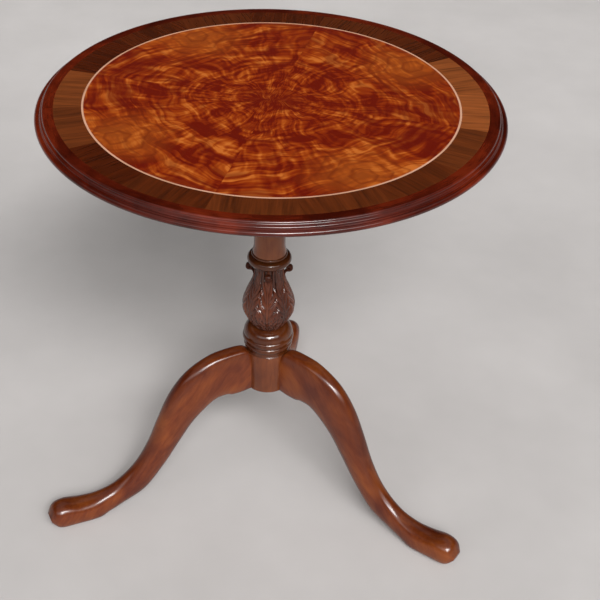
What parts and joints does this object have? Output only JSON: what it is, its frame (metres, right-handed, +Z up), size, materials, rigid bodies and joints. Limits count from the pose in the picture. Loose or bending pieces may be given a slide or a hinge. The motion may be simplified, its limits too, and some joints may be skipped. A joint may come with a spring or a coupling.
{
  "type": "tilt top table",
  "caption": "Round tilt-top pedestal table with a crossbanded figured top, a turned and carved column and cabriole tripod legs.",
  "frame": {"origin": "on the floor, under the middle of the overall length and width; the axis of the column is 25.3 mm in front of it (-Y)", "axes": "+Z up, normal to the level top; +Y along the back leg; the top tips up about a line parallel to X, near the front of its block, so that its face turns towards -Y"},
  "size_m": [0.712, 0.7614, 0.745],
  "materials": {
    "figured_veneer": "polished",
    "crossband_veneer": "polished",
    "boxwood": "polished",
    "polished_mahogany": "polished",
    "secondary_wood": "satin",
    "brass": "aged",
    "iron": "dull",
    "steel_screw": "satin"
  },
  "bodies": {
    "base": {"column": "polished_mahogany", "tenon_wedge": "polished_mahogany", "leg_back": "polished_mahogany", "leg_front_left": "polished_mahogany", "leg_front_right": "polished_mahogany", "brace_plate": "iron", "brace_screw_1": "steel_screw", "brace_screw_2": "steel_screw", "brace_screw_3": "steel_screw", "brace_screw_4": "steel_screw", "pivot_block": "secondary_wood", "strike_plate": "brass", "strike_screw_1": "brass", "strike_screw_2": "brass"},
    "top": {"top_core": "secondary_wood", "field_veneer_1": "figured_veneer", "field_veneer_2": "figured_veneer", "field_veneer_3": "figured_veneer", "field_veneer_4": "figured_veneer", "stringing": "boxwood", "crossband_1": "crossband_veneer", "crossband_2": "crossband_veneer", "crossband_3": "crossband_veneer", "crossband_4": "crossband_veneer", "crossband_5": "crossband_veneer", "crossband_6": "crossband_veneer", "crossband_7": "crossband_veneer", "crossband_8": "crossband_veneer", "edge_moulding": "polished_mahogany", "bearer_left": "secondary_wood", "bearer_right": "secondary_wood", "bearer_left_screw_1": "steel_screw", "bearer_left_screw_2": "steel_screw", "bearer_left_screw_3": "steel_screw", "bearer_right_screw_1": "steel_screw", "bearer_right_screw_2": "steel_screw", "bearer_right_screw_3": "steel_screw", "catch_plate": "brass", "catch_screw_1": "brass", "catch_screw_2": "brass", "catch_screw_3": "brass", "catch_screw_4": "brass"},
    "bolt": {"catch_bolt": "brass", "catch_knob": "brass"}
  },
  "joints": [
    {"name": "top_tilt", "type": "hinge", "parent": "base", "child": "top", "pos_m": [0, -0.0823, 0.7115], "axis": [1, 0, 0], "range_deg": [0, 90]},
    {"name": "catch_slide", "type": "slide", "parent": "top", "child": "bolt", "axis": [0, -1, 0], "range_m": [0, 0.012]}
  ]
}
